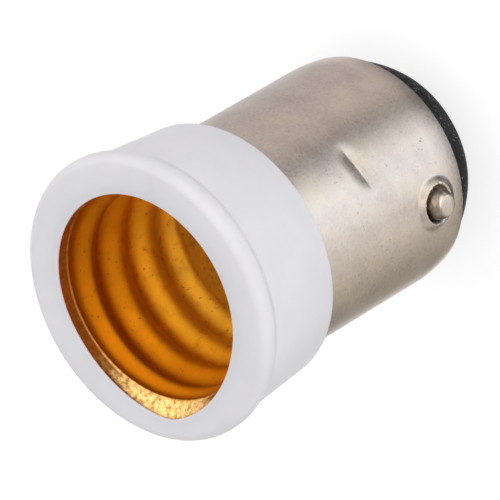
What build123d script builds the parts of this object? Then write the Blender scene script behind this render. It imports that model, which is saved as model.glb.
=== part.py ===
from build123d import *
from math import asin, cos, degrees, pi, radians, sin, sqrt, tan
import os

# Bulb socket adapter: a small bayonet cap (15 mm, two pins, two contacts) that carries a
# small screw socket (14 mm thread). It stands on its two base contacts with the mouth up.
# Millimetres. Origin on the axis, at the level of the base contacts; pins along Y, contacts along X.

# Heights along the axis
contact_plane_z = 0.0
base_face_z = 0.7        # flat underside of the base insulator
rear_rim_z = 3.6         # curled rear edge of the bayonet shell
insulator_top_z = 5.1
pin_z = 6.4              # standard distance from the contact plane
floor_under_z = 10.6     # underside of the holder's floor
stake_z = 11.9
floor_top_z = 12.7
collar_rear_z = 17.8
shell_front_z = 20.3     # the shell's front edge, hidden in the collar's slot
mouth_z = 25.42          # front face of the collar

# Base insulator: radius and height of the points on its domed shoulder and its rounded edge
shoulder_middle = (6.67, 2.28)
shoulder_end = (5.89, 1.084)
edge_middle = (5.54, 0.801)
base_flat_radius = 5.1

# Bayonet shell, drawn from thin sheet
shell_radius = 7.62
shell_wall = 0.2
curl_height = 0.65
curl_inset = 0.17
boss_foot_radius = 1.75
boss_top_radius = 1.42
boss_height = 0.24
pin_radius = 1.0
pin_tip_radius = 8.62    # from the axis to the pin's tip
pin_tip_flat = 0.55      # radius inside the tip's rounded edge
pin_round_height = 0.35
pin_dome = 0.07
pin_shank_radius = 0.72
pin_head_radius = 1.15    # the domed rivet head inside
pin_head_depth = 0.35
pin_angles = {"a": -90, "b": 90}

# Two stakes lock the shell to the holder
stake_angles = (-56.3, 123.7)
stake_radius = 0.95
stake_depth = 0.3
stake_length = 1.5

# Moulded holder
fit_gap = 0.02
collar_rear_radius = 8.54
collar_front_radius = 9.02
collar_front_z = 23.6
lip_radius = 9.41
lip_under_z = 24.25
lip_edge_round = 0.6
lip_root_inset = 0.09        # the lip's rear edge, inside its full radius
lip_full_z = 24.62           # where the lip reaches its full radius
collar_flare = (9.1, 24.02)  # radius and height halfway up the hollow under the lip
slot_depth_gap = 0.1
mouth_radius = 6.9
mouth_lip = 0.12
rim_room = 0.2               # room round the screw shell's rim, under the mouth's lip
rim_room_z = 24.0

# The mouth's edge and the brass rim under it are drawn out to one side, like a spout
spout_angle = -174.3
spout_reach = 1.08
spout_half_width = 66.0      # degrees to each side
spout_tip_round = 4.0

# Screw shell, rolled from thin sheet: a round thread
thread_major = 7.0
thread_minor = 6.25
thread_pitch = 2.822
thread_wall = 0.16
thread_crest_angle = 101.7   # where a ridge's crest passes thread_crest_z
thread_crest_z = 20.23
thread_top_z = (22.9, 24.1)      # ridge full below the first, gone above the second
thread_bottom_z = (15.0, 13.9)   # ridge full above the first, gone below the second
rim_flare = 0.08             # how far the rim opens all round, besides the spout
rim_flare_z = (25.2, 24.25)  # fully open at the first, still straight at the second
rows_per_pitch = 9
columns = 12                 # sections round each half turn

# Tab of the screw shell
tab_width = 2.0
tab_thickness = 0.2
tab_inner_x = 6.88
tab_end_z = 9.1
tab_clearance = 0.12

# Centre contact, bent from strip
strip_width = 3.0
strip_thickness = 0.3
foot_left_x = -5.0
foot_right_x = -1.9
hump_z = 14.5
tip_x = 2.5
tip_z = 13.75
leg_end_z = 8.9
rivet_x = -3.3
rivet_shank_radius = 0.6
rivet_head_radius = 1.15
rivet_head_height = 0.45
rivet_clinch_radius = 1.0

# Base contacts and leads
contact_spacing = 6.8
eyelet_flange_radius = 1.65
eyelet_flange = 0.25
eyelet_radius = 0.95
eyelet_bore = 0.65
eyelet_flare_radius = 1.3
solder_radius = 1.45
solder_plug_z = 2.6
wire_radius = 0.3
sleeve_radius = 0.6
joint_radius = 0.75
# Points of each lead after it leaves its eyelet: x towards the outside, y, z
shell_lead_points = ((0, 0, 6.6), (1.2, 1.1, 8.1))
centre_lead_points = ((0, 0, 6.4), (0.7, -1.2, 7.9))
lead_foot_z = 1.0
shell_joint_place = (0.2, 9.7)     # y and z of the joint on the tab
centre_joint_place = (-0.1, 9.35)
lead_stand_off = 0.4               # from the terminal's face to the wire's axis
sleeve_strip = 0.75                # bare wire below the joint

shell_inner = shell_radius - shell_wall
sleeve_outer = shell_inner - fit_gap
bore_radius = thread_major + thread_wall + fit_gap


def at_angle(angle):
    return Rotation(0, 0, angle)


def turned(*outline):
    """A revolved solid from the lines and arcs of its half section, drawn in the XZ plane."""
    return revolve(make_face(list(outline)), Axis.Z)


def polygon_turned(points):
    """A revolved solid from a closed row of (radius, height) points."""
    line = Polyline(*[(r, 0, z) for r, z in points], close=True)
    return revolve(make_face(line), Axis.Z)


def dome_arc(radius, low, rise):
    """The half section of a spherical cap, from its rim to the axis; a negative rise points down."""
    sphere = (radius * radius + rise * rise) / (2 * abs(rise))
    centre = low + rise - (sphere if rise > 0 else -sphere)
    half = asin(radius / sphere) / 2
    middle = (sphere * sin(half), 0, centre + (sphere if rise > 0 else -sphere) * cos(half))
    return ThreePointArc((radius, 0, low), middle, (0, 0, low + rise))


def disc(radius, low, high, x=0.0):
    return Pos(x, 0, low) * Cylinder(radius, high - low, align=(Align.CENTER, Align.CENTER, Align.MIN))


def outward(solid, angle, height):
    """Stands a solid built along +Z from the axis so that it points outwards at a height."""
    return Pos(0, 0, height) * at_angle(angle) * Rotation(0, 90, 0) * solid


def stake_tool(growth):
    """The round-nosed chisel that presses a stake, or the same with the sheet's thickness added."""
    radius = stake_radius + growth
    centre = shell_radius - stake_depth + stake_radius
    half = stake_length / 2
    bar = Rotation(90, 0, 0) * Cylinder(radius, stake_length)
    ends = [Pos(0, side * half, 0) * Sphere(radius) for side in (-1, 1)]
    tool = Pos(centre, 0, stake_z) * (bar + ends[0] + ends[1])
    return tool


def make_bayonet_shell():
    curl_z = rear_rim_z + curl_height
    curl_outer = shell_radius - curl_inset
    outline = [
        Line((shell_radius, 0, shell_front_z), (shell_radius, 0, curl_z)),
        TangentArc((shell_radius, 0, curl_z), (curl_outer, 0, rear_rim_z), tangent=(0, 0, -1)),
        Line((curl_outer, 0, rear_rim_z), (curl_outer - shell_wall, 0, rear_rim_z)),
        TangentArc((shell_inner, 0, curl_z), (curl_outer - shell_wall, 0, rear_rim_z), tangent=(0, 0, -1)),
        Line((shell_inner, 0, curl_z), (shell_inner, 0, shell_front_z)),
        Line((shell_inner, 0, shell_front_z), (shell_radius, 0, shell_front_z)),
    ]
    shell = turned(*outline)
    inside = disc(shell_inner + shell_wall / 2, floor_under_z - 1, floor_top_z + 1)
    for angle in stake_angles:
        shell += at_angle(angle) * (stake_tool(shell_wall) & at_angle(-angle) * inside)
    for angle in stake_angles:
        shell -= at_angle(angle) * stake_tool(0)
    for angle in pin_angles.values():
        shell = add_boss(shell, angle)
    return shell


def add_boss(shell, angle):
    """A low round boss pressed out of the sheet, flat on top, with the pin's hole through it."""
    start = shell_inner - 0.4
    rise = shell_radius + boss_height - start
    outside = Pos(0, 0, start) * Cone(
        boss_foot_radius + 0.3, boss_top_radius, rise, align=(Align.CENTER, Align.CENTER, Align.MIN))
    hollow = Pos(0, 0, start - shell_wall) * Cone(
        boss_foot_radius + 0.1, boss_top_radius - 0.2, rise, align=(Align.CENTER, Align.CENTER, Align.MIN))
    keep = Rotation(0, -90, 0) * Pos(0, 0, -pin_z) * disc(20, 0, 25) - (
        Rotation(0, -90, 0) * Pos(0, 0, -pin_z) * disc(shell_inner + shell_wall / 2, -1, 30))
    hole = Pos(0, 0, start - 1) * Cylinder(
        pin_shank_radius, 4, align=(Align.CENTER, Align.CENTER, Align.MIN))
    shell += outward(outside & keep, angle, pin_z)
    shell -= outward(hollow, angle, pin_z)
    shell -= outward(hole, angle, pin_z)
    return shell


def make_pin():
    """A turned pin: domed tip, shoulder on the boss, shank through it and a riveted head inside."""
    shoulder = shell_radius + boss_height
    inner_face = shoulder - shell_wall
    dome_z = pin_tip_radius - pin_dome
    wall_end = dome_z - pin_round_height
    round_x = pin_tip_flat + (pin_radius - pin_tip_flat) * cos(pi / 4)
    round_z = wall_end + pin_round_height * sin(pi / 4)
    outline = [
        Polyline((pin_head_radius, 0, inner_face), (pin_shank_radius, 0, inner_face),
                 (pin_shank_radius, 0, shoulder), (pin_radius, 0, shoulder), (pin_radius, 0, wall_end)),
        ThreePointArc((pin_radius, 0, wall_end), (round_x, 0, round_z), (pin_tip_flat, 0, dome_z)),
        dome_arc(pin_tip_flat, dome_z, pin_dome),
        Line((0, 0, pin_tip_radius), (0, 0, inner_face - pin_head_depth)),
        dome_arc(pin_head_radius, inner_face, -pin_head_depth),
    ]
    return turned(*outline)


def make_base_insulator():
    """Moulded disc held in the shell's curled rim, with a domed shoulder and two contact holes."""
    body = sleeve_outer
    curl_z = rear_rim_z + curl_height
    curl_inner = shell_inner - curl_inset - fit_gap
    shoulder, corner, edge = [(r, 0, z) for r, z in (shoulder_middle, shoulder_end, edge_middle)]
    outline = [
        Line((0, 0, insulator_top_z), (body, 0, insulator_top_z)),
        Line((body, 0, insulator_top_z), (body, 0, curl_z)),
        TangentArc((body, 0, curl_z), (curl_inner, 0, rear_rim_z), tangent=(0, 0, -1)),
        ThreePointArc((curl_inner, 0, rear_rim_z), shoulder, corner),
        ThreePointArc(corner, edge, (base_flat_radius, 0, base_face_z)),
        Line((base_flat_radius, 0, base_face_z), (0, 0, base_face_z)),
        Line((0, 0, base_face_z), (0, 0, insulator_top_z)),
    ]
    disc_body = turned(*outline)
    for side in (-1, 1):
        disc_body -= disc(eyelet_radius, 0, insulator_top_z + 1, side * contact_spacing / 2)
    return disc_body


def make_base_contact(x):
    """Brass eyelet: flange outside, barrel through the insulator, flared over inside."""
    low = base_face_z - eyelet_flange
    eyelet = polygon_turned([
        (eyelet_bore, low), (eyelet_flange_radius, low), (eyelet_flange_radius, base_face_z),
        (eyelet_radius, base_face_z), (eyelet_radius, insulator_top_z), (eyelet_flare_radius, insulator_top_z),
        (eyelet_flare_radius - 0.1, insulator_top_z + 0.2), (eyelet_bore, insulator_top_z + 0.25)])
    return Pos(x, 0, 0) * eyelet


def make_base_solder(x):
    """Domed solder button on the eyelet, with a plug up the bore round the wire."""
    low = base_face_z - eyelet_flange
    dome = revolve(make_face([
        Line((0, 0, solder_plug_z), (eyelet_bore, 0, solder_plug_z)),
        Line((eyelet_bore, 0, solder_plug_z), (eyelet_bore, 0, low)),
        Line((eyelet_bore, 0, low), (solder_radius, 0, low)),
        dome_arc(solder_radius, low, contact_plane_z - low),
        Line((0, 0, contact_plane_z), (0, 0, solder_plug_z)),
    ]), Axis.Z)
    return Pos(x, 0, 0) * dome


def spout(theta):
    """How far the mouth's edge is drawn out at an angle, most in the middle of the spout."""
    away = (degrees(theta) - spout_angle + 180) % 360 - 180
    share = 1 - sqrt(away * away + spout_tip_round * spout_tip_round) / spout_half_width
    return spout_reach * max(share, 0) ** 1.7


def spouted_disc(radius, low, high):
    """A disc whose edge follows the mouth's: round, and drawn out at the spout."""
    turns = [2 * pi * i / 60 for i in range(60)]
    rim = [((radius + spout(t)) * cos(t), (radius + spout(t)) * sin(t), low) for t in turns]
    return extrude(make_face(Spline(*rim, periodic=True)), high - low, dir=(0, 0, 1))


def make_socket_body():
    """One white moulding: collar with its lip, a thin spigot inside the shell, and a floor."""
    skirt_inner = shell_radius + fit_gap
    slot_top = shell_front_z + slot_depth_gap
    corner = lip_edge_round * (1 - cos(pi / 4))
    outline = [
        Polyline((0, 0, floor_under_z), (sleeve_outer, 0, floor_under_z), (sleeve_outer, 0, slot_top),
                 (skirt_inner, 0, slot_top), (skirt_inner, 0, collar_rear_z),
                 (collar_rear_radius, 0, collar_rear_z), (collar_front_radius, 0, collar_front_z)),
        ThreePointArc((collar_front_radius, 0, collar_front_z), (collar_flare[0], 0, collar_flare[1]),
                      (lip_radius - lip_root_inset, 0, lip_under_z)),
        ThreePointArc((lip_radius - lip_root_inset, 0, lip_under_z), (lip_radius, 0, lip_full_z),
                      (lip_radius, 0, mouth_z - lip_edge_round)),
        ThreePointArc((lip_radius, 0, mouth_z - lip_edge_round), (lip_radius - corner, 0, mouth_z - corner),
                      (lip_radius - lip_edge_round, 0, mouth_z)),
        Polyline((lip_radius - lip_edge_round, 0, mouth_z), (0, 0, mouth_z), (0, 0, rim_room_z + 0.1),
                 (bore_radius, 0, rim_room_z + 0.1), (bore_radius, 0, floor_top_z),
                 (0, 0, floor_top_z), (0, 0, floor_under_z)),
    ]
    body = turned(*outline)
    body -= spouted_disc(bore_radius + rim_room, rim_room_z, mouth_z - mouth_lip)
    body -= spouted_disc(mouth_radius, mouth_z - 1, mouth_z + 1)
    for angle in stake_angles:
        body -= at_angle(angle) * stake_tool(shell_wall)
    floor_middle = (floor_under_z + floor_top_z) / 2
    height = floor_top_z - floor_under_z + 1
    tab_slot = Pos(tab_inner_x + tab_thickness / 2, 0, floor_middle) * Box(
        tab_thickness + 2 * tab_clearance, tab_width + 2 * tab_clearance, height)
    leg_slot = Pos(foot_left_x + strip_thickness / 2, 0, floor_middle) * Box(
        strip_thickness + 2 * tab_clearance, strip_width / 2 + 2 * tab_clearance, height)
    rivet_hole = disc(rivet_shank_radius, floor_under_z - 1, floor_top_z + 1, rivet_x)
    return body - tab_slot - leg_slot - rivet_hole


def ramp(z, full, gone):
    """1 at the height full, 0 at the height gone, with a smooth S between."""
    share = min(max((gone - z) / (gone - full), 0), 1)
    return share * share * (3 - 2 * share)


def thread_radius(theta, z):
    """Inner radius of the screw shell: plain ends, a rounded helical ridge and the flared rim."""
    phase = 2 * pi * (z - thread_crest_z) / thread_pitch - (theta - radians(thread_crest_angle))
    depth = (thread_major - thread_minor) * ramp(z, *thread_top_z) * ramp(z, *thread_bottom_z)
    ridge = depth * (1 + cos(phase)) / 2
    flare = (rim_flare + spout(theta)) * ramp(z, *rim_flare_z)
    return thread_major - ridge + flare


def thread_section(theta):
    """The sheet's section at one angle: the wave inside, the same wave outside, and two short ends."""
    low, high = floor_top_z, mouth_z - mouth_lip
    rows = round((high - low) / thread_pitch * rows_per_pitch)
    steps = [row / rows for row in range(rows + 1)]

    def wave(offset):
        heights = [low + (high - low) * step for step in steps]
        return [Vector(thread_radius(theta, z) + offset, 0, z).rotate(Axis.Z, degrees(theta)) for z in heights]

    inner, outer = wave(0), wave(thread_wall)
    return Wire([
        Edge.make_spline(inner, parameters=steps), Edge.make_line(inner[-1], outer[-1]),
        Edge.make_spline(outer[::-1], parameters=steps), Edge.make_line(outer[0], inner[0])])


def make_screw_shell():
    """Thin brass shell with a rolled right-hand thread, a flared rim and a solder tab below."""
    halves = [Solid.make_loft([thread_section(start + pi * column / columns) for column in range(columns + 1)])
              for start in (0, pi)]
    tab_top = floor_top_z + 0.5
    tab = Pos(tab_inner_x, 0, tab_end_z) * Box(
        tab_thickness, tab_width, tab_top - tab_end_z, align=(Align.MIN, Align.CENTER, Align.MIN))
    return halves[0] + halves[1] + tab


def make_centre_contact():
    """Springy strip: leg through the floor, riveted foot, and a tongue arched up under the lamp."""
    z = floor_top_z
    middle = (foot_right_x + tip_x) / 2
    top = Polyline((foot_left_x, 0, leg_end_z), (foot_left_x, 0, z + strip_thickness),
                   (foot_right_x, 0, z + strip_thickness))
    spring = Spline((foot_right_x, 0, z + strip_thickness), (middle, 0, hump_z), (tip_x, 0, tip_z),
                    tangents=[(1, 0, 0.55), (1, 0, -0.6)])
    lower = Spline((foot_right_x + 0.12, 0, z), (middle, 0, hump_z - strip_thickness),
                   (tip_x - 0.15, 0, tip_z - 0.26), tangents=[(1, 0, 0.55), (1, 0, -0.6)])
    outline = [
        top, spring,
        Line((tip_x, 0, tip_z), (tip_x - 0.15, 0, tip_z - 0.26)),
        lower,
        Polyline((foot_right_x + 0.12, 0, z), (foot_left_x + strip_thickness, 0, z),
                 (foot_left_x + strip_thickness, 0, leg_end_z), (foot_left_x, 0, leg_end_z)),
    ]
    strip = extrude(make_face(outline), strip_width / 2, both=True)
    beside = Box(strip_thickness + 1, strip_width / 4, z - leg_end_z,
                 align=(Align.CENTER, Align.MIN, Align.MIN))
    for side in (1, -1):
        corner = Pos(foot_left_x + strip_thickness / 2, 0, leg_end_z) * Rotation(0, 0, 90 - 90 * side)
        strip -= corner * Pos(0, strip_width / 4, 0) * beside
    return strip - disc(rivet_shank_radius, z - 1, z + 1, rivet_x)


def make_contact_rivet():
    top = floor_top_z + strip_thickness
    outline = [
        Polyline((0, 0, floor_under_z - 0.35), (rivet_clinch_radius - 0.25, 0, floor_under_z - 0.35),
                 (rivet_clinch_radius, 0, floor_under_z), (rivet_shank_radius, 0, floor_under_z),
                 (rivet_shank_radius, 0, top), (rivet_head_radius, 0, top)),
        dome_arc(rivet_head_radius, top, rivet_head_height),
        Line((0, 0, top + rivet_head_height), (0, 0, floor_under_z - 0.35)),
    ]
    return Pos(rivet_x, 0, 0) * turned(*outline)


def wire_routes():
    """Each lead from the base contact up to the terminal under the floor."""
    half = contact_spacing / 2
    shell_route = [(half, 0, lead_foot_z)] + [(half + x, y, z) for x, y, z in shell_lead_points]
    shell_route += [(tab_inner_x - lead_stand_off, *shell_joint_place)]
    centre_route = [(-half, 0, lead_foot_z)] + [(-half + x, y, z) for x, y, z in centre_lead_points]
    centre_route += [(foot_left_x + strip_thickness + lead_stand_off, *centre_joint_place)]
    return {"shell": shell_route, "centre": centre_route}


def bend_radii(route):
    """A corner's largest arc: 0.45 of the shorter run over the tangent of half the turn."""
    points = [Vector(*p) for p in route]
    radii = []
    for before, here, after in zip(points, points[1:], points[2:]):
        first, second = here - before, after - here
        turn = radians(first.get_angle(second))
        radii.append(0.45 * min(first.length, second.length) / tan(turn / 2))
    return radii


def round_bar(route, radius):
    radii = [round(r, 2) for r in bend_radii(route)]
    path = FilletPolyline(*route, radius=radii)
    return sweep(Plane(origin=path @ 0, z_dir=path % 0) * Circle(radius), path=path)


def make_leads():
    """Conductors, their sleeves and the two soldered joints under the floor."""
    made = {}
    for name, route in wire_routes().items():
        wire = round_bar(route, wire_radius)
        whole = round_bar(route, sleeve_radius)
        low, high = insulator_top_z + 0.5, route[-1][2] - sleeve_strip
        band = Pos(0, 0, low) * Box(20, 20, high - low, align=(Align.CENTER, Align.CENTER, Align.MIN))
        made[f"{name}_lead_wire"] = wire
        made[f"{name}_lead_sleeve"] = (whole & band) - wire
    return made


def make_joint(face_x, side, route, wire):
    """A bead of solder that holds a lead's end against the flat face of its terminal."""
    end = Vector(*route[-1])
    bead = Pos(face_x - side * joint_radius / 2, end.Y, end.Z) * Sphere(joint_radius)
    room = Pos(face_x - side * joint_radius, end.Y, end.Z) * Box(2 * joint_radius, 4, 4)
    return (bead & room) - wire


def main():
    os.makedirs("parts", exist_ok=True)
    half = contact_spacing / 2
    nodes = {
        "bayonet_shell": make_bayonet_shell(),
        "base_insulator": make_base_insulator(),
        "socket_body": make_socket_body(),
        "screw_shell": make_screw_shell(),
        "centre_contact": make_centre_contact(),
        "contact_rivet": make_contact_rivet(),
    }
    for letter, angle in pin_angles.items():
        nodes[f"bayonet_pin_{letter}"] = outward(make_pin(), angle, pin_z)
    nodes.update(make_leads())
    routes = wire_routes()
    faces = {"shell": tab_inner_x, "centre": foot_left_x + strip_thickness}
    for name, side in {"shell": 1, "centre": -1}.items():
        x = side * half
        wire = nodes[f"{name}_lead_wire"]
        nodes[f"{name}_base_contact"] = make_base_contact(x)
        nodes[f"{name}_base_solder"] = make_base_solder(x) - wire
        nodes[f"{name}_lead_joint"] = make_joint(faces[name], side, routes[name], wire)
    for name, solid in nodes.items():
        export_step(solid, f"parts/{name}.step")


main()
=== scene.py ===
from math import acos, atan2, cos, degrees, pi, radians, sin, sqrt, tau

import bpy
from mathutils import Matrix, Vector, noise


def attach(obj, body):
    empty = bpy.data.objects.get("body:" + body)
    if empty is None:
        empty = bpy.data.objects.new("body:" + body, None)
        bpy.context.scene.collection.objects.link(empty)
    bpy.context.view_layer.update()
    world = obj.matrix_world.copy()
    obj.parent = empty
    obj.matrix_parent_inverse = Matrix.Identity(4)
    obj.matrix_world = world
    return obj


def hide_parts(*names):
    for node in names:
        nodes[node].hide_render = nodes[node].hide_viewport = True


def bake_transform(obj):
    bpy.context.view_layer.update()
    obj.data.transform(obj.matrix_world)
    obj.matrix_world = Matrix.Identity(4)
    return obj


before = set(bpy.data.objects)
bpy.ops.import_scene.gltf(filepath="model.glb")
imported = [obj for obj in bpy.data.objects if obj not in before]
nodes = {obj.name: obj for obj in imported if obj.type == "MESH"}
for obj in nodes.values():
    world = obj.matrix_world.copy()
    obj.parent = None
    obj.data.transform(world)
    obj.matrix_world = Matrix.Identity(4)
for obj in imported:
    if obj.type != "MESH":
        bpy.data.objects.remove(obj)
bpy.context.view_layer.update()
MM = 0.001


# Camera
# A long lens that looks down into the socket's mouth from beside one pin, rolled so that the
# mouth points to the lower left of the picture.
VIEW_TURN = radians(-58.3)
VIEW_TILT = radians(47.33)
VIEW_ROLL = radians(-120.62)
VIEW_DISTANCE = 483.0 * MM
VIEW_ORIGIN = Vector((0, 0, 1.6 * MM))
VIEW_RIGHT, VIEW_UP = -8.676 * MM, -5.869 * MM
LENS, SENSOR = 556.1, 36.0
CLIP_NEAR, CLIP_FAR = 0.01, 10

view_back = Vector((sin(VIEW_TILT), 0, cos(VIEW_TILT)))
view_side = Vector((0, 1, 0))
view_right = cos(VIEW_ROLL) * view_side + sin(VIEW_ROLL) * view_back.cross(view_side)
view_up = view_back.cross(view_right)
turn = Matrix.Rotation(VIEW_TURN, 3, "Z")
view_right, view_up, view_back = turn @ view_right, turn @ view_up, turn @ view_back
camera_data = bpy.data.cameras.new("camera")
camera_data.lens, camera_data.sensor_width = LENS, SENSOR
camera_data.clip_start, camera_data.clip_end = CLIP_NEAR, CLIP_FAR
camera = bpy.data.objects.new("camera", camera_data)
bpy.context.scene.collection.objects.link(camera)
place = VIEW_ORIGIN + VIEW_RIGHT * view_right + VIEW_UP * view_up + VIEW_DISTANCE * view_back
view_axes = Matrix((view_right, view_up, view_back)).transposed()
camera.matrix_world = Matrix.Translation(place) @ view_axes.to_4x4()
bpy.context.scene.camera = camera


# Base insulator
# Black phenolic, moulded as one thick disc with a domed shoulder. The metal shell's edge is
# curled in over it, and two eyelets pass through it.
SIDES = 288
MERGE_DISTANCE = 0.0001 * MM
insulator_top_z, insulator_radius = 5.1, 7.4
curl_z, rear_rim_z, curl_inset = 4.25, 3.6, 0.17
base_face_z, base_flat_radius = 0.7, 5.1
insulator_shoulder = (7.23, 3.6), (6.67, 2.28), (5.89, 1.084)
insulator_edge = (5.89, 1.084), (5.54, 0.801), (base_flat_radius, base_face_z)


def linear(hex_code):
    """An sRGB hex colour as the linear values that a shader takes."""
    parts = [int(hex_code[i:i + 2], 16) / 255 for i in (1, 3, 5)]
    return tuple(p / 12.92 if p <= 0.04045 else ((p + 0.055) / 1.055) ** 2.4 for p in parts) + (1.0,)


def arc_through(a, b, c, steps):
    """Points of the arc from a over b to c."""
    (ax, ay), (bx, by), (cx, cy) = a, b, c
    d = 2 * (ax * (by - cy) + bx * (cy - ay) + cx * (ay - by))
    aa, bb, cc = ax * ax + ay * ay, bx * bx + by * by, cx * cx + cy * cy
    ux = (aa * (by - cy) + bb * (cy - ay) + cc * (ay - by)) / d
    uy = (aa * (cx - bx) + bb * (ax - cx) + cc * (bx - ax)) / d
    radius = sqrt((ax - ux) ** 2 + (ay - uy) ** 2)
    start, middle, end = (atan2(y - uy, x - ux) for x, y in (a, b, c))
    sweep = (end - start) % tau
    if (middle - start) % tau > sweep:
        sweep -= tau
    angles = [start + sweep * i / steps for i in range(steps + 1)]
    return [(ux + radius * cos(t), uy + radius * sin(t)) for t in angles]


def deselect():
    bpy.ops.object.select_all(action="DESELECT")


def drawn_line(name, points, y=0.0):
    """Extrudes one vertex along points of (x, height) in mm, and leaves all of it selected in edit mode."""
    deselect()
    bpy.ops.mesh.primitive_plane_add(size=MM)
    piece = bpy.context.object
    piece.name = piece.data.name = name
    bpy.ops.object.mode_set(mode="EDIT")
    bpy.ops.mesh.merge(type="CENTER")
    bpy.ops.transform.translate(value=(points[0][0] * MM, y * MM, points[0][1] * MM))
    for (x, z), (x_next, z_next) in zip(points, points[1:]):
        step = ((x_next - x) * MM, 0, (z_next - z) * MM)
        bpy.ops.mesh.extrude_region_move(TRANSFORM_OT_translate={"value": step})
    bpy.ops.mesh.select_all(action="SELECT")
    return piece


def close_mesh():
    """Turns every face outwards and leaves edit mode."""
    bpy.ops.mesh.select_all(action="SELECT")
    bpy.ops.mesh.normals_make_consistent(inside=False)
    bpy.ops.object.mode_set(mode="OBJECT")


def spun(name, outline, sides=SIDES):
    """A piece turned about the axis from an outline of (radius, height) in mm."""
    piece = drawn_line(name, outline)
    bpy.ops.mesh.spin(steps=sides, angle=tau, center=(0, 0, 0), axis=(0, 0, 1))
    bpy.ops.mesh.select_all(action="SELECT")
    bpy.ops.mesh.remove_doubles(threshold=MERGE_DISTANCE)
    close_mesh()
    return piece


def smooth(piece, angle=35):
    deselect()
    piece.select_set(True)
    bpy.context.view_layer.objects.active = piece
    bpy.ops.object.shade_smooth_by_angle(angle=radians(angle))


def put_at(piece, offset):
    """Moves a mesh that was made on the axis to its place, leaving the object at the origin."""
    piece.data.transform(Matrix.Translation(Vector(offset) * MM))


def new_material(name):
    material = bpy.data.materials.new(name)
    material.use_nodes = True
    return material, material.node_tree, material.node_tree.nodes["Principled BSDF"]


def add(tree, kind, links=(), **settings):
    """Adds a node, sets its properties or sockets by name, and links (socket, from socket) pairs."""
    node = tree.nodes.new(kind)
    for key, value in settings.items():
        if hasattr(node, key):
            setattr(node, key, value)
        else:
            node.inputs[key.replace("_", " ")].default_value = value
    for socket, source in links:
        tree.links.new(source, node.inputs[socket])
    return node


def ramp(tree, source, stops):
    """A colour ramp from a value, with (place, colour) stops; a colour is a hex code or a grey."""
    node = add(tree, "ShaderNodeValToRGB", [(0, source)])
    band = node.color_ramp.elements
    while len(band) < len(stops):
        band.new(0.5)
    for element, (spot, colour) in zip(band, stops):
        element.position = spot
        element.color = linear(colour) if isinstance(colour, str) else (colour, colour, colour, 1)
    return node.outputs[0]


def grain(tree, size_mm, detail=2.0, rough=0.5, distortion=0.0, stretch=None):
    """Noise whose features are about size_mm across, on the piece's own coordinates."""
    where = add(tree, "ShaderNodeTexCoord").outputs["Object"]
    if stretch:
        where = add(tree, "ShaderNodeMapping", [(0, where)], Scale=stretch).outputs[0]
    return add(tree, "ShaderNodeTexNoise", [("Vector", where)], Scale=1 / (size_mm * MM), Detail=detail,
               Roughness=rough, Distortion=distortion).outputs[0]


def blend_colours(tree, share, first, second, mode="MIX"):
    node = add(tree, "ShaderNodeMix", data_type="RGBA", blend_type=mode)
    for socket, value in ((0, share), (6, first), (7, second)):
        if isinstance(value, (int, float)):
            node.inputs[socket].default_value = value
        elif isinstance(value, str):
            node.inputs[socket].default_value = linear(value)
        else:
            tree.links.new(value, node.inputs[socket])
    return node.outputs[2]


def bump(tree, height, strength, depth_mm, normal=None):
    links = [("Height", height)] + ([("Normal", normal)] if normal else [])
    return add(tree, "ShaderNodeBump", links, Strength=strength, Distance=depth_mm * MM).outputs[0]


def dress(piece, material):
    piece.data.materials.clear()
    piece.data.materials.append(material)


def surface(tree, shader, **sockets):
    """Links a node's output to each named socket of the shader, or sets the socket to a value."""
    for key, value in sockets.items():
        socket = shader.inputs[key.replace("_", " ")]
        if isinstance(value, bpy.types.NodeSocket):
            tree.links.new(value, socket)
        else:
            socket.default_value = value


def phenolic():
    """Black phenolic, compression moulded: near black, satin, with a few pale specks of filler."""
    material, tree, shader = new_material("moulded_black_phenolic")
    specks = ramp(tree, grain(tree, 0.16, 1.0), [(0.67, 0.0), (0.71, 1.0)])
    cloud = grain(tree, 1.4, 3.0)
    base = ramp(tree, cloud, [(0.3, "#131112"), (0.7, "#1d1a1b")])
    surface(tree, shader, Base_Color=blend_colours(tree, specks, base, "#a8a5a0"),
            Roughness=ramp(tree, cloud, [(0.3, 0.4), (0.7, 0.5)]), Specular_IOR_Level=0.27,
            Normal=bump(tree, grain(tree, 0.12), 0.25, 0.01))
    return material


outline = [(0, insulator_top_z), (insulator_radius, insulator_top_z), (insulator_radius, curl_z)]
outline += arc_through(*insulator_shoulder, 20) + arc_through(*insulator_edge, 8)[1:] + [(0, base_face_z)]
insulator = spun("insulator_disc", outline)
smooth(insulator)
dress(insulator, phenolic())
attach(insulator, "root")
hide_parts("base_insulator")


# Base contacts
# Two turned brass eyelets, flared over inside the insulator. Each is filled with a button of
# solder round the end of its lead, and the adapter stands on the buttons.
contact_spacing = 6.8
eyelet_bore, eyelet_radius, eyelet_flange_radius, eyelet_flange = 0.65, 0.95, 1.65, 0.25
eyelet_edge_round = 0.06
eyelet_flare_radius, eyelet_flare_edge, eyelet_flare_heights = 1.3, 0.1, (0.2, 0.25)
solder_radius, solder_plug_z = 1.45, 2.6
ripples_per_mm, ripple_depth, ripple_margin = 0.9, 0.03, 0.05


def bare_brass(name, shades, tarnish, roughness):
    """Bare brass sheet or rod: a warm metal with faint brown tarnish and a fine drawn grain."""
    material, tree, shader = new_material(name)
    cloud = grain(tree, 1.6, 4.0, 0.6)
    base = ramp(tree, cloud, [(0.3, shades[0]), (0.55, shades[1]), (0.75, shades[2])])
    stains = ramp(tree, grain(tree, 0.5, 5.0, 0.65), [(0.56, 0.0), (0.78, 1.0)])
    surface(tree, shader, Base_Color=blend_colours(tree, stains, base, tarnish), Metallic=1.0,
            Roughness=ramp(tree, cloud, [(0.3, roughness), (0.7, roughness + 0.12)]),
            Normal=bump(tree, grain(tree, 0.06, 3.0), 0.3, 0.006))
    return material


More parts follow.
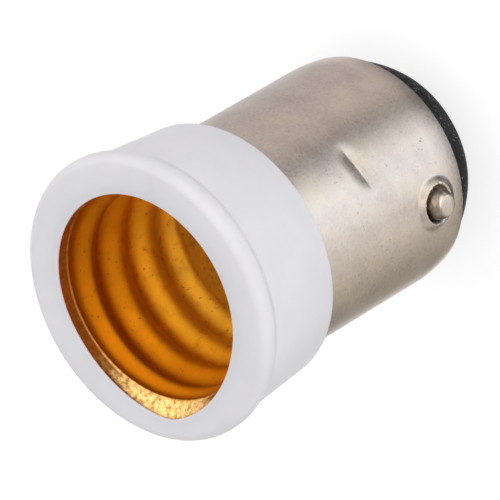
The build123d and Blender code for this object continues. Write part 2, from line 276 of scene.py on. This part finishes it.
def solder():
    """Tin solder as it froze: pale grey, bright but dulled, with a slightly rippled skin."""
    material, tree, shader = new_material("frozen_tin_solder")
    skin = grain(tree, 0.45, 4.0)
    surface(tree, shader, Base_Color=ramp(tree, skin, [(0.3, "#a9aaac"), (0.7, "#cfd0d1")]), Metallic=1.0,
            Roughness=ramp(tree, skin, [(0.3, 0.24), (0.7, 0.42)]), Normal=bump(tree, skin, 0.35, 0.03))
    return material


def dome(radius, rim_z, tip_z, steps):
    """Points of a spherical cap from its rim to its tip on the axis."""
    rise = abs(tip_z - rim_z)
    sphere = (radius * radius + rise * rise) / (2 * rise)
    centre = tip_z - sphere if tip_z > rim_z else tip_z + sphere
    sign = 1 if tip_z > rim_z else -1
    widest = acos((sphere - rise) / sphere)
    points = []
    for i in range(steps + 1):
        angle = widest * (1 - i / steps)
        points.append((sphere * sin(angle), centre + sign * sphere * cos(angle)))
    return points


eyelet_brass = bare_brass("turned_brass_eyelet", ("#b98a3c", "#d9ab57", "#e8c274"), "#7d5a24", 0.28)
tin = solder()
low = base_face_z - eyelet_flange
flare_edge_z, flare_top_z = (insulator_top_z + height for height in eyelet_flare_heights)
eyelet_outline = [
    (eyelet_bore, low), (eyelet_flange_radius - eyelet_edge_round, low),
    (eyelet_flange_radius, low + eyelet_edge_round), (eyelet_flange_radius, base_face_z),
    (eyelet_radius, base_face_z), (eyelet_radius, insulator_top_z), (eyelet_flare_radius, insulator_top_z),
    (eyelet_flare_radius - eyelet_flare_edge, flare_edge_z), (eyelet_bore, flare_top_z), (eyelet_bore, low)]
solder_outline = [(0, solder_plug_z), (eyelet_bore, solder_plug_z), (eyelet_bore, low)]
solder_outline += dome(solder_radius, low, 0.0, 14)
for name, side in (("shell", 1), ("centre", -1)):
    offset = (side * contact_spacing / 2, 0, 0)
    eyelet = spun(f"{name}_eyelet", eyelet_outline, 96)
    smooth(eyelet)
    put_at(eyelet, offset)
    dress(eyelet, eyelet_brass)
    button = spun(f"{name}_solder_button", solder_outline, 96)
    for vertex in button.data.vertices:
        if ripple_margin * MM < vertex.co.z < low * MM:
            wave = noise.noise(Vector((vertex.co.x, vertex.co.y, side * 10 * MM)) * (ripples_per_mm / MM))
            vertex.co.z += ripple_depth * MM * wave
    smooth(button, 60)
    put_at(button, offset)
    dress(button, tin)
    for piece, node, finish in ((eyelet, f"{name}_base_contact", "brass_hardware"),
                                (button, f"{name}_base_solder", "tin_solder")):
        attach(piece, "root")
        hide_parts(node)


# Bayonet shell
# Drawn brass tube, nickel plated and left satin. Its rear edge is curled in over the insulator,
# a low round ring is pressed out round each pin, and two stakes lock it to the white holder.
shell_radius, shell_wall, shell_front_z = 7.62, 0.2, 20.3
SHELL_SIDES = 420
EDGE_SHARE = 0.3    # of a small rounding's radius, from the corner to the middle of its arc
SAME = 0.01         # mm within which two radii or heights count as the same
boss_foot_radius, boss_crest_radius, boss_groove_radius, boss_height = 1.72, 1.25, 1.0, 0.24
curl_middle_radius, curl_middle_z, curl_power = shell_radius - 0.04 - shell_wall, 3.92, 2.2
roll_start_z, rear_edge_round = 5.7, 0.07
pin_z, pin_turns = 6.4, (-90, 90)
stake_z, stake_turns, stake_depth, stake_slant = 11.52, (-55.5, 124.5), 0.25, 0.125
stake_sides, stake_edge, stake_flat, stake_reach = (1.1, 1.4), 0.07, 0.45, 2.15


def ease(share):
    """0 to 1 with a smooth start and end."""
    share = min(max(share, 0), 1)
    return share * share * (3 - 2 * share)


def stake_press(angle, z):
    """Depth in mm of the chisel marks: a slanting crease with hollow sides that run out."""
    depth = 0
    for turn_deg in stake_turns:
        along = shell_radius * ((angle - radians(turn_deg) + pi) % tau - pi)
        rise = z - stake_z - stake_slant * along
        away = sqrt(rise * rise + stake_edge * stake_edge) / stake_sides[rise > 0]
        share = ease((stake_reach - abs(along)) / (stake_reach - stake_flat))
        depth += stake_depth * max(1 - away, 0) ** 2 * share
    return depth


def boss_ring(angle, z):
    """Height in mm of the rings pressed out round the pins."""
    for turn_deg in pin_turns:
        off = (angle - radians(turn_deg) + pi) % tau - pi
        if abs(off) < pi / 2:
            away = sqrt((shell_radius * sin(off)) ** 2 + (z - pin_z) ** 2)
            rise = min(max((boss_foot_radius - away) / (boss_foot_radius - boss_crest_radius), 0), 1)
            rise = min(rise, ease((away - boss_groove_radius) / (boss_crest_radius - boss_groove_radius)))
            return rise * ((shell_radius + boss_height) / cos(off) - shell_radius)
    return 0


def fine_rows(low, high, coarse, fine, bands):
    """Heights from low to high, coarse apart, or fine apart inside the given bands."""
    rows, z = [low], low
    while z < high - 1e-6:
        z += fine if any(a - coarse < z < b for a, b in bands) else coarse
        rows.append(min(z, high))
    return rows


def press(piece, moved):
    """Moves each vertex of a turned piece outwards by moved(radius, angle, height), in mm."""
    for vertex in piece.data.vertices:
        x, y, z = (c / MM for c in vertex.co)
        angle = atan2(y, x)
        shift = moved(sqrt(x * x + y * y), angle, z) * MM
        vertex.co.x += shift * cos(angle)
        vertex.co.y += shift * sin(angle)


def product(tree, first, second):
    return add(tree, "ShaderNodeMath", [(0, first), (1, second)], operation="MULTIPLY").outputs[0]


def between(tree, value, start_mm, end_mm):
    """0 to 1 from one length or coordinate to another."""
    return add(tree, "ShaderNodeMapRange", [("Value", value)], From_Min=start_mm * MM,
               From_Max=end_mm * MM).outputs[0]


def plated_nickel(name, dirt_and_shade_low, dirt_and_shade_high, stretch, middle):
    """Satin nickel plate on drawn brass: warm grey, sandy grain, faint stains, flecks, and a brown darkening
    that is partly dirt and partly painted shade.

    The brown lies where the distance from middle, on stretched coordinates, is below the lower of the two
    given distances in mm."""
    material, tree, shader = new_material(name)
    cloud = grain(tree, 2.4, 4.0, 0.6)
    base = ramp(tree, cloud, [(0.34, "#cabbb0"), (0.5, "#d4c5b9"), (0.66, "#dbccba")])
    sand = grain(tree, 0.2, 3.0, 0.6)
    base = blend_colours(tree, 0.16, base, ramp(tree, sand, [(0.3, "#77706a"), (0.7, "#ffffff")]), "OVERLAY")
    flecks = ramp(tree, grain(tree, 0.24, 2.0, 0.6, 0.8), [(0.27, 1.0), (0.33, 0.0)])
    flecks = product(tree, flecks, ramp(tree, grain(tree, 3.2, 2.0), [(0.5, 0.0), (0.6, 1.0)]))
    base = blend_colours(tree, flecks, base, "#9a8878")
    where = add(tree, "ShaderNodeTexCoord").outputs["Object"]
    offset = add(tree, "ShaderNodeVectorMath", [(0, where)], operation="SUBTRACT")
    offset.inputs[1].default_value = Vector(middle) * MM
    stretched = add(tree, "ShaderNodeVectorMath", [(0, offset.outputs[0])], operation="MULTIPLY")
    stretched.inputs[1].default_value = stretch
    away = add(tree, "ShaderNodeVectorMath", [(0, stretched.outputs[0])], operation="LENGTH").outputs["Value"]
    streaks = ramp(tree, grain(tree, 0.5, 3.0), [(0.2, 1.0), (0.8, 0.6)])
    # Painted shade mixed with brown dirt: the darkening round a pin's foot and on a pin's sides.
    dirt_and_shade = product(tree, between(tree, away, dirt_and_shade_high, dirt_and_shade_low), streaks)
    surface(tree, shader, Base_Color=blend_colours(tree, dirt_and_shade, base, "#4a3c30"), Metallic=1.0,
            Roughness=ramp(tree, sand, [(0.3, 0.26), (0.7, 0.36)]),
            Normal=bump(tree, flecks, 0.4, -0.015, bump(tree, sand, 0.35, 0.012)))
    return material


stake_band = (stake_z - 1.4, stake_z + 1.4)
bands = ((rear_rim_z, pin_z + 1.9), stake_band)
rows = fine_rows(rear_rim_z + rear_edge_round, shell_front_z, 0.5, 0.1, bands)
inner_rows = fine_rows(curl_z, shell_front_z, 1.2, 0.25, (stake_band,))


def rolled_radius(z):
    """Outer radius of the shell, drawn in more and more towards its rear edge."""
    share = max(roll_start_z - z, 0) / (roll_start_z - rear_rim_z)
    return shell_radius - curl_inset * share ** curl_power


def shell_shift(radius, angle, z):
    """The stakes press both faces of the wall, and the rings stand out on the outer one alone."""
    ring = boss_ring(angle, z) if radius > shell_radius - curl_inset - SAME else 0
    return ring - stake_press(angle, z)


inner_radius = shell_radius - shell_wall
edge_radius = rolled_radius(rows[0])
rear_middle = EDGE_SHARE * rear_edge_round
outline = [(rolled_radius(z), z) for z in reversed(rows)]
outline += arc_through(outline[-1], (edge_radius - rear_middle, rear_rim_z + rear_middle),
                       (edge_radius - rear_edge_round, rear_rim_z), 5)[1:]
outline += arc_through((inner_radius - curl_inset, rear_rim_z), (curl_middle_radius, curl_middle_z),
                       (inner_radius, curl_z), 8)
outline += [(inner_radius, z) for z in inner_rows[1:]] + [(shell_radius, shell_front_z)]
shell = spun("nickel_shell", outline, SHELL_SIDES)
press(shell, shell_shift)
smooth(shell, 50)
# The brown round each pin's foot is painted shade in the groove inside the ring, mixed with dirt, and set a
# little towards the mouth.
dress(shell, plated_nickel("satin_nickel_plate", 1.0, 1.2, (1, 0, 1), (-0.12, 0, pin_z + 0.08)))
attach(shell, "root")
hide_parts("bayonet_shell")


# Bayonet pins
# Two turned pins with a rounded tip, riveted through the rings and plated with the shell. Their sides carry a
# brown darkening, partly dirt and partly painted shade, and the tips stay clean.
pin_radius, pin_taper_radius, pin_tip_radius = 1.0, 7.84, 8.62
pin_shank_radius, pin_head_radius, pin_head_rim, pin_head_depth = 0.72, 1.15, 0.1, 0.35
pin_shoulder_middle, pin_shoulder = (0.93, 8.16), (0.76, 8.44)
pin_nose_middle, pin_nose = (0.7, 8.53), (0.58, 8.58)

inner_face = shell_radius + boss_height - shell_wall
head_rim = inner_face - pin_head_rim
groove_floor = shell_radius - shell_wall / 2
pin_outline = list(reversed(dome(pin_head_radius, head_rim, inner_face - pin_head_depth, 8)))
pin_outline += [(pin_shank_radius, head_rim), (pin_shank_radius, groove_floor), (pin_radius, groove_floor)]
pin_outline += arc_through((pin_radius, pin_taper_radius), pin_shoulder_middle, pin_shoulder, 8)
pin_outline += arc_through(pin_shoulder, pin_nose_middle, pin_nose, 6)[1:]
pin_outline += dome(*pin_nose, pin_tip_radius, 4)[1:]
# The pin finish darkens the pins' sides brown: dirt and painted shade together, clean at the tips.
worn = plated_nickel("nickel_pin_dirt_and_painted_shade", 8.49, 8.6, (1.9, 1, 0), (-0.2, 0, 0))
for letter, turn_deg in zip("ab", pin_turns):
    pin = spun(f"pin_{letter}", pin_outline, 96)
    smooth(pin)
    pin.data.transform(Matrix.Rotation(radians(turn_deg), 4, "Z") @ Matrix.Rotation(pi / 2, 4, "Y"))
    put_at(pin, (0, 0, pin_z))
    dress(pin, worn)
    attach(pin, "root")
    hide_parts(f"bayonet_pin_{letter}")


# White holder
# One moulding in white thermoplastic: a collar with a rounded lip, a thin spigot that slides
# into the metal shell, and a floor under the screw shell.
floor_under_z, floor_top_z, collar_rear_z, mouth_z = 10.6, 12.7, 17.8, 25.42
collar_rear_radius, collar_rear_round, collar_round_middle = 8.54, 0.08, 0.02
collar_front_radius, collar_front_z = 9.02, 23.6
lip_radius, lip_under_inset, lip_under_z, lip_full_z, lip_edge_round = 9.41, 0.09, 24.25, 24.62, 0.6
lip_hollow = (9.1, 24.02)
mouth_radius, mouth_lip, mouth_edge, bore_radius = 6.9, 0.12, 0.07, 7.18
rim_room_radius, rim_room_z = 7.38, 24.0
spout_turn, spout_reach, spout_half_width, spout_tip_round = -174.3, 1.08, 66.0, 4.0


def spout(angle):
    """How far in mm the mouth's edge and the brass rim in it are drawn out to one side."""
    away = (degrees(angle) - spout_turn + 180) % 360 - 180
    share = 1 - sqrt(away * away + spout_tip_round * spout_tip_round) / spout_half_width
    return spout_reach * max(share, 0) ** 1.7


def moulded_white():
    """White thermoplastic, injection moulded: cool, slightly translucent, with a soft sheen."""
    material, tree, shader = new_material("moulded_white_plastic")
    surface(tree, shader, Base_Color=ramp(tree, grain(tree, 3.0, 3.0), [(0.3, "#e9e7eb"), (0.7, "#efedf1")]),
            Roughness=0.42, IOR=1.5, Subsurface_Weight=0.3, Subsurface_Radius=(1.0, 0.9, 0.8),
            Subsurface_Scale=0.6 * MM, Normal=bump(tree, grain(tree, 0.5, 3.0), 0.12, 0.01))
    return material


def holder_shift(radius, angle, z):
    """The mouth's edge follows the spout, and the spigot is pressed in with the shell at the stakes."""
    if z > rim_room_z - SAME and mouth_radius - SAME < radius < rim_room_radius + SAME:
        return spout(angle)
    on_spigot = abs(radius - spigot_radius) < SAME and z > floor_under_z
    return -stake_press(angle, z) if on_spigot else 0


skirt_radius, spigot_radius, slot_top_z = shell_radius + 0.02, insulator_radius, shell_front_z + 0.1
corner = lip_edge_round * (1 - cos(pi / 4))
mouth_middle = EDGE_SHARE * mouth_edge
collar_front = (collar_front_radius, collar_front_z)
lip_under, lip_front = (lip_radius - lip_under_inset, lip_under_z), (lip_radius, mouth_z - lip_edge_round)
rim_z = mouth_z - mouth_lip
outline = [(0, floor_under_z)]
outline += [(spigot_radius, z) for z in fine_rows(floor_under_z, slot_top_z, 1.5, 0.2, (stake_band,))]
outline += [(skirt_radius, slot_top_z), (skirt_radius, collar_rear_z),
            (collar_rear_radius - collar_rear_round, collar_rear_z),
            (collar_rear_radius - collar_round_middle, collar_rear_z + collar_round_middle),
            (collar_rear_radius, collar_rear_z + collar_rear_round), collar_front]
outline += arc_through(collar_front, lip_hollow, lip_under, 8)[1:]
outline += arc_through(lip_under, (lip_radius, lip_full_z), lip_front, 6)[1:]
outline += arc_through(lip_front, (lip_radius - corner, mouth_z - corner),
                       (lip_radius - lip_edge_round, mouth_z), 10)[1:]
outline += arc_through((mouth_radius + mouth_edge, mouth_z),
                       (mouth_radius + mouth_middle, mouth_z - mouth_middle),
                       (mouth_radius, mouth_z - mouth_edge), 5)
outline += [(mouth_radius, rim_z), (rim_room_radius, rim_z), (rim_room_radius, rim_room_z),
            (bore_radius, rim_room_z), (bore_radius, floor_top_z), (0, floor_top_z)]
holder = spun("white_holder", outline)
press(holder, holder_shift)
smooth(holder)
dress(holder, moulded_white())
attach(holder, "root")
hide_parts("socket_body")


# Screw shell
# Thin brass sheet, drawn and rolled to a right-hand round thread. Its rim opens slightly, most at
# the spout, and a tab below it is soldered to its lead.
thread_major, thread_minor, thread_pitch, thread_wall = 7.0, 6.25, 2.822, 0.16
thread_crest_turn, thread_crest_z = radians(101.7), 20.23
thread_top_z, thread_bottom_z = (22.9, 24.1), (15.0, 13.9)
rim_flare, rim_flare_z = 0.08, (25.2, 24.25)
fold_depth, fold_z, fold_half_height = 0.06, 24.34, 0.15
tab_width, tab_thickness, tab_inner_x, tab_end_z, tab_overlap = 2.0, 0.2, 6.88, 9.1, 0.5
row_height, rim_row_height, rim_rows_z = 0.1, 0.04, (24.1, 25.3)
SCREW_SIDES = 240


def run_out(z, full, gone):
    """1 at the height full, 0 at the height gone, with a smooth S between."""
    return ease((gone - z) / (gone - full))


def thread_radius(angle, z):
    """Inner radius: plain ends, a rounded ridge that climbs one pitch a turn, and the open rim."""
    phase = tau * (z - thread_crest_z) / thread_pitch - (angle - thread_crest_turn)
    depth = (thread_major - thread_minor) * run_out(z, *thread_top_z) * run_out(z, *thread_bottom_z)
    ridge = depth * (1 + cos(phase)) / 2
    fold = fold_depth * ease(1 - abs(z - fold_z) / fold_half_height)
    return thread_major - ridge - fold + (rim_flare + spout(angle)) * run_out(z, *rim_flare_z)


def bevel(piece, width_mm, limit_deg=30):
    """Breaks the sharp edges of the active piece."""
    edges = piece.modifiers.new("edges", "BEVEL")
    edges.width, edges.segments, edges.limit_method = width_mm * MM, 2, "ANGLE"
    edges.angle_limit = radians(limit_deg)
    bpy.ops.object.modifier_apply(modifier="edges")


heights = fine_rows(floor_top_z, rim_z, row_height, rim_row_height, (rim_rows_z,))
outline = [(thread_major, z) for z in heights]
outline += [(thread_major + thread_wall, z) for z in reversed(heights)] + [(thread_major, heights[0])]
screw = spun("brass_screw_shell", outline, SCREW_SIDES)
press(screw, lambda radius, angle, z: thread_radius(angle, z) - thread_major)
deselect()
bpy.ops.mesh.primitive_cube_add(size=1)
tab = bpy.context.object
tab_top = floor_top_z + tab_overlap
tab.data.transform(Matrix.Diagonal((tab_thickness * MM, tab_width * MM, (tab_top - tab_end_z) * MM, 1)))
put_at(tab, (tab_inner_x + tab_thickness / 2, 0, (tab_top + tab_end_z) / 2))
bevel(tab, 0.05)
screw.select_set(True)
bpy.context.view_layer.objects.active = screw
bpy.ops.object.join()
smooth(screw, 60)


def rolled_brass():
    """Bare rolled brass: deep amber, painted paler and brighter deeper in the socket as painted light, brown
    tarnish and dark specks, rubbed pale at the rim and the spout.
    """
    material, tree, shader = new_material("rolled_brass_sheet")
    where = add(tree, "ShaderNodeTexCoord").outputs["Object"]
    parts = add(tree, "ShaderNodeSeparateXYZ", [(0, where)]).outputs
    # Painted light: the amber is paler and brighter deeper in, against the shade inside the socket, and
    # darker towards the mouth.
    shades = [(0.1, "#ffcc44"), (0.45, "#f0b02a"), (0.7, "#dc9016"), (0.85, "#cc7c0f"), (1.0, "#b66a0b")]
    amber_with_painted_light = ramp(tree, between(tree, parts["Z"], 13, 23), shades)
    patches = ramp(tree, grain(tree, 2.2, 4.0, 0.6), [(0.3, "#b4b4b4"), (0.7, "#ffffff")])
    base = blend_colours(tree, 0.35, amber_with_painted_light, patches, "MULTIPLY")
    stains = ramp(tree, grain(tree, 0.7, 5.0, 0.65), [(0.54, 0.0), (0.8, 0.7)])
    base = blend_colours(tree, stains, base, "#b0600c")
    specks = ramp(tree, grain(tree, 0.18, 2.0), [(0.68, 0.0), (0.74, 0.9)])
    base = blend_colours(tree, specks, base, "#4a2a0c")
    up = between(tree, parts["Z"], 24.0, 25.0)
    rim = ramp(tree, up, [(0.2, 0.0), (0.28, 0.38), (0.44, 0.38), (0.52, 0.3)])
    rim_at_spout = ramp(tree, up, [(0.15, 0.0), (0.5, 1.0)])
    worn = blend_colours(tree, between(tree, parts["X"], -4.5, -6.2), rim, rim_at_spout)
    rubbed = ramp(tree, grain(tree, 0.3, 4.0, 0.65), [(0.36, "#886434"), (0.5, "#b48e56"), (0.62, "#cfa76c")])
    scratches = grain(tree, 0.12, 3.0, 0.6, 0.0, (1.0, 1.0, 3.0))
    dents = bump(tree, grain(tree, 0.8, 3.0), 0.3, 0.03)
    surface(tree, shader, Base_Color=blend_colours(tree, worn, base, rubbed), Metallic=1.0,
            Roughness=add(tree, "ShaderNodeMapRange", [("Value", worn)], To_Min=0.62, To_Max=0.3).outputs[0],
            Normal=bump(tree, scratches, 0.5, 0.015, dents))
    return material


dress(screw, rolled_brass())
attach(screw, "root")
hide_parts("screw_shell")


# Centre contact and its rivet
# A springy brass strip on the socket's floor: riveted foot, arched tongue under the lamp's tip,
# and a narrow leg through the floor. The tongue bends down when a lamp is screwed in.
strip_width, strip_thickness, leg_end_z, leg_share = 3.0, 0.3, 8.9, 0.5
foot_left_x, foot_right_x, hump_z, tip_x, tip_z = -5.0, -1.9, 14.5, 2.5, 13.75
tongue_slopes, under_foot_shift, under_tip_shift = (0.55, -0.6), 0.12, (0.15, 0.26)
foot_round, foot_round_middle = 0.1, 0.03
rivet_x, rivet_shank_radius, rivet_head_radius, rivet_head_height = -3.3, 0.6, 1.15, 0.45
rivet_clinch_radius, rivet_clinch_slope, rivet_clinch_height = 1.0, 0.25, 0.35
STRIP_PARTS = 8


def tongue(start, middle, end, steps=14):
    """Points of a smooth curve through three places, with the tongue's slopes at the first and the last."""
    (x0, z0), (x1, z1), (x2, z2) = start, middle, end
    slope_in, slope_out = tongue_slopes
    middle_slope = (z2 - z0) / (x2 - x0)
    points = []
    for (xa, za, ma), (xb, zb, mb) in (((x0, z0, slope_in), (x1, z1, middle_slope)),
                                       ((x1, z1, middle_slope), (x2, z2, slope_out))):
        run = xb - xa
        for i in range(steps):
            t = i / steps
            height = (2 * t ** 3 - 3 * t * t + 1) * za + (3 * t * t - 2 * t ** 3) * zb
            height += ((t ** 3 - 2 * t * t + t) * ma + (t ** 3 - t * t) * mb) * run
            points.append((xa + run * t, height))
    return points + [(x2, z2)]


strip_top_z = floor_top_z + strip_thickness
middle_x = (foot_right_x + tip_x) / 2
leg_top_z, leg_inner_x = floor_top_z - SAME, foot_left_x + strip_thickness
top_side = tongue((foot_right_x, strip_top_z), (middle_x, hump_z), (tip_x, tip_z))
under_side = tongue((foot_right_x + under_foot_shift, floor_top_z), (middle_x, hump_z - strip_thickness),
                    (tip_x - under_tip_shift[0], tip_z - under_tip_shift[1]))
section = [(foot_left_x, leg_end_z), (foot_left_x, leg_top_z), (foot_left_x, floor_top_z),
           (foot_left_x, strip_top_z - foot_round),
           (foot_left_x + foot_round_middle, strip_top_z - foot_round_middle),
           (foot_left_x + foot_round, strip_top_z)]
section += top_side + list(reversed(under_side))
section += [(leg_inner_x, floor_top_z), (leg_inner_x, leg_top_z), (leg_inner_x, leg_end_z)]
strip = drawn_line("centre_strip", section, -strip_width / 2)
bpy.ops.mesh.edge_face_add()
for part in range(STRIP_PARTS):
    bpy.ops.mesh.extrude_region_move(TRANSFORM_OT_translate={"value": (0, strip_width / STRIP_PARTS * MM, 0)})
close_mesh()
for vertex in strip.data.vertices:
    if vertex.co.z < (leg_top_z + floor_top_z) / 2 * MM:
        vertex.co.y *= leg_share
bevel(strip, 0.04, 60)
smooth(strip)
dress(strip, bare_brass("spring_brass_strip", ("#b48a44", "#d3aa60", "#e4c583"), "#846030", 0.3))
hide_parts("centre_contact")
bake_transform(strip)
clinch_z = floor_under_z - rivet_clinch_height
rivet_outline = [(0, clinch_z), (rivet_clinch_radius - rivet_clinch_slope, clinch_z),
                 (rivet_clinch_radius, floor_under_z), (rivet_shank_radius, floor_under_z),
                 (rivet_shank_radius, strip_top_z)]
rivet_outline += dome(rivet_head_radius, strip_top_z, strip_top_z + rivet_head_height, 10)
rivet = spun("contact_rivet_pin", rivet_outline, 64)
smooth(rivet)
put_at(rivet, (rivet_x, 0, 0))
dress(rivet, eyelet_brass)
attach(rivet, "root")
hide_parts("contact_rivet")


# Leads
# Two short sleeved wires under the floor, soldered to the screw shell's tab and the contact's
# leg. They keep the solids' shapes and only get their finish here.
def drawn_copper():
    """Bare copper wire: salmon, drawn bright, a little dulled."""
    material, tree, shader = new_material("drawn_copper_wire")
    shades = ramp(tree, grain(tree, 0.6, 3.0), [(0.3, "#b5683f"), (0.7, "#d88b5f")])
    surface(tree, shader, Base_Color=shades, Metallic=1.0, Roughness=0.3)
    return material


def soft_sleeve():
    """Off-white extruded sleeve: dull and slightly waxy."""
    material, tree, shader = new_material("extruded_soft_sleeve")
    shades = ramp(tree, grain(tree, 0.8, 3.0), [(0.3, "#d8d4c8"), (0.7, "#e6e2d8")])
    surface(tree, shader, Base_Color=shades, Roughness=0.55)
    return material


copper, sleeve = drawn_copper(), soft_sleeve()
for name in ("shell", "centre"):
    dress(nodes[f"{name}_lead_wire"], copper)
    dress(nodes[f"{name}_lead_sleeve"], sleeve)
    dress(nodes[f"{name}_lead_joint"], tin)


# Studio
# A white floor that takes the object's soft shadow, a surround that lights the object and shows in
# its metal, and two soft boxes on the side of the pin that faces the camera.
FLOOR_SIZE, FLOOR_DROP = 2.0, 0.2 * MM


def by_ray(tree, ray, others, these):
    """A shader that is these for one kind of ray, and others for the rest."""
    is_ray = add(tree, "ShaderNodeLightPath").outputs[f"Is {ray} Ray"]
    return add(tree, "ShaderNodeMixShader", [(0, is_ray), (1, others.outputs[0]), (2, these.outputs[0])])


deselect()
bpy.ops.mesh.primitive_plane_add(size=FLOOR_SIZE, location=(0, 0, -FLOOR_DROP))
floor = bpy.context.object
floor.name = "studio_floor"
floor_paint, tree, shader = new_material("white_sweep")
diffuse = add(tree, "ShaderNodeBsdfDiffuse", Color=linear("#ececec"))
pale = add(tree, "ShaderNodeBsdfDiffuse", Color=linear("#b4b4b4"))
glow = add(tree, "ShaderNodeEmission", Strength=0.72)
lit = add(tree, "ShaderNodeAddShader", [(0, pale.outputs[0]), (1, glow.outputs[0])])
clear = add(tree, "ShaderNodeBsdfTransparent")
shown = by_ray(tree, "Camera", by_ray(tree, "Glossy", diffuse, clear), lit)
tree.links.new(shown.outputs[0], tree.nodes["Material Output"].inputs["Surface"])
dress(floor, floor_paint)

# What the metal reflects: brightness and tint by compass angle, below the horizon and above it.
low_round = (
    (-180, 0.40, 0.38, 0.34), (-166, 0.48, 0.47, 0.42), (-150, 0.63, 0.62, 0.57), (-130, 0.87, 0.88, 0.87),
    (-106, 1.09, 1.11, 1.13), (-85, 1.34, 1.45, 1.60), (-66, 1.50, 1.66, 1.80), (-50, 1.24, 1.32, 1.40),
    (-34, 0.70, 0.73, 0.80), (-23, 0.35, 0.34, 0.34), (-13, 0.55, 0.53, 0.52), (4, 0.76, 0.74, 0.75),
    (30, 0.66, 0.64, 0.65), (74, 0.62, 0.60, 0.61), (98, 0.86, 0.87, 0.92), (120, 1.20, 1.22, 1.30),
    (142, 1.22, 1.20, 1.18), (154, 0.42, 0.40, 0.36), (180, 0.40, 0.38, 0.34))
high_round = (
    (-180, 1.9, 1.9, 1.9), (-118, 1.0, 1.0, 1.0), (-106, 1.3, 1.3, 1.3), (-95, 2.3, 2.3, 2.2),
    (-82, 2.7, 2.7, 2.6), (-66, 1.1, 1.1, 1.05), (-52, 2.6, 2.5, 2.4), (-38, 3.2, 3.2, 3.2),
    (-15, 3.7, 3.7, 3.7), (15, 3.0, 3.0, 3.0), (50, 3.4, 3.4, 3.4), (75, 3.9, 3.9, 3.9),
    (100, 3.2, 3.2, 3.2), (125, 1.9, 1.9, 1.9), (180, 1.5, 1.5, 1.5))
BRIGHTEST, LOW_PEAK = 4.0, 1.3


def compass(tree, spot, stops, gain=1.0):
    """A ramp of reflected light over the compass, as a share of BRIGHTEST."""
    node = add(tree, "ShaderNodeValToRGB", [(0, spot)])
    band = node.color_ramp.elements
    while len(band) < len(stops):
        band.new(0.5)
    for stop, (angle, *tint) in zip(band, stops):
        stop.position = (angle + 180) / 360
        stop.color = [gain * share / BRIGHTEST for share in tint] + [1]
    return node.outputs[0]


world = bpy.data.worlds.new("surround")
bpy.context.scene.world = world
world.use_nodes = True
tree = world.node_tree
where = add(tree, "ShaderNodeTexCoord").outputs["Generated"]
parts = add(tree, "ShaderNodeSeparateXYZ", [(0, where)]).outputs
around = add(tree, "ShaderNodeMath", [(0, parts["Y"]), (1, parts["X"])], operation="ARCTAN2").outputs[0]
spot = add(tree, "ShaderNodeMapRange", [("Value", around)], From_Min=-pi, From_Max=pi).outputs[0]
level = add(tree, "ShaderNodeMapRange", [("Value", parts["Z"])], From_Min=-1, From_Max=1).outputs[0]
dimming = ramp(tree, level, [(0.0, 0.3), (0.04, 0.14), (0.085, 0.3), (0.118, 0.95), (0.14, 1.0),
                             (0.16, 0.68)])
low = blend_colours(tree, 1.0, compass(tree, spot, low_round, LOW_PEAK), dimming, "MULTIPLY")
overhead = ramp(tree, level, [(0.62, 0.5), (0.76, 0.75), (0.9, 1.0)])
high = blend_colours(tree, 1.0, compass(tree, spot, high_round), overhead, "MULTIPLY")
tone = blend_colours(tree, ramp(tree, level, [(0.34, 0.0), (0.5, 1.0)]), low, high)
falloff = ramp(tree, level, [(0.55, 1.0), (0.8, 0.79), (1.0, 0.56)])
shaded = ramp(tree, spot, [(0.0, 0.5), (0.1, 0.75), (0.2, 1.0), (0.55, 1.0), (0.78, 0.85), (0.9, 0.45),
                           (1.0, 0.5)])
sky = blend_colours(tree, 1.0, falloff, shaded, "MULTIPLY")
mirrored = add(tree, "ShaderNodeBackground", [("Color", tone)], Strength=BRIGHTEST)
ambient = add(tree, "ShaderNodeBackground", [("Color", sky)], Strength=1.13)
seen = add(tree, "ShaderNodeBackground", Color=(1, 1, 1, 1), Strength=1.0)
shown = by_ray(tree, "Camera", by_ray(tree, "Glossy", ambient, mirrored), seen)
tree.links.new(shown.outputs[0], tree.nodes["World Output"].inputs["Surface"])
tree.nodes.remove(tree.nodes["Background"])


BOX_SIZE, BOX_DISTANCE, BOX_TINT = 0.5, 0.6, "#f4f8ff"
AIM_POINT = Vector((0, 0, 13 * MM))


def soft_box(name, compass_deg, lift_deg, watts):
    """An area lamp that looks at the middle of the object from a compass angle and a height."""
    data = bpy.data.lights.new(name, "AREA")
    data.shape, data.size, data.energy, data.color = "SQUARE", BOX_SIZE, watts, linear(BOX_TINT)[:3]
    lamp = bpy.data.objects.new(name, data)
    lamp.visible_glossy = False
    bpy.context.scene.collection.objects.link(lamp)
    turned, lifted = radians(compass_deg), radians(lift_deg)
    aim = Vector((cos(lifted) * cos(turned), cos(lifted) * sin(turned), sin(lifted)))
    facing = aim.to_track_quat("Z", "Y").to_matrix().to_4x4()
    lamp.matrix_world = Matrix.Translation(AIM_POINT + aim * BOX_DISTANCE) @ facing


soft_box("key", -68, 18, 0.46)
soft_box("fill", -114, 8, 0.36)

bpy.context.scene.view_settings.view_transform = "Standard"
